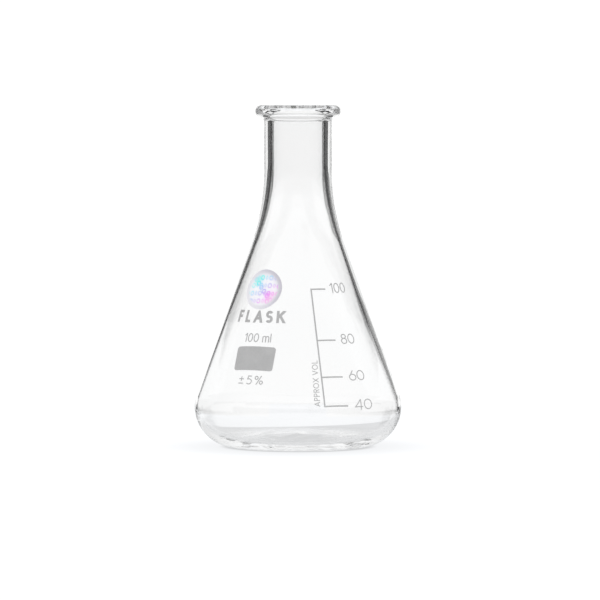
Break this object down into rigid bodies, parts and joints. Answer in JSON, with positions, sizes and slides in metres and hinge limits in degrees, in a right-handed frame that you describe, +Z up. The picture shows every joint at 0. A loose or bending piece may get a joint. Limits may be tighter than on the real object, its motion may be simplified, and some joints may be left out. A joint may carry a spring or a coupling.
{
  "type": "erlenmeyer flask",
  "caption": "Conical laboratory flask in clear glass with a straight neck, beaded rim, round heel, printed volume scale, writing panel and round holographic seal.",
  "frame": {"origin": "centre of the foot circle, on the plane the flask stands on", "axes": "+Z up along the neck, out of the mouth; -Y is the front, between the name and the printed scale; +X to the right seen from the front"},
  "size_m": [0.0638, 0.0638, 0.1056],
  "materials": {
    "glass": "clear, fire polished",
    "enamel": "fired print, matt, off-white",
    "adhesive": "clear pressure-sensitive coat",
    "film": "metallised iridescent film"
  },
  "bodies": {
    "root": {"glass_vessel": "glass", "scale_rule": "enamel", "numeral_100": "enamel", "numeral_80": "enamel", "numeral_60": "enamel", "numeral_40": "enamel", "scale_caption": "enamel", "name_mark": "enamel", "capacity_mark": "enamel", "marking_panel": "enamel", "tolerance_mark": "enamel", "seal_adhesive": "adhesive", "seal_film": "film"}
  },
  "joints": []
}
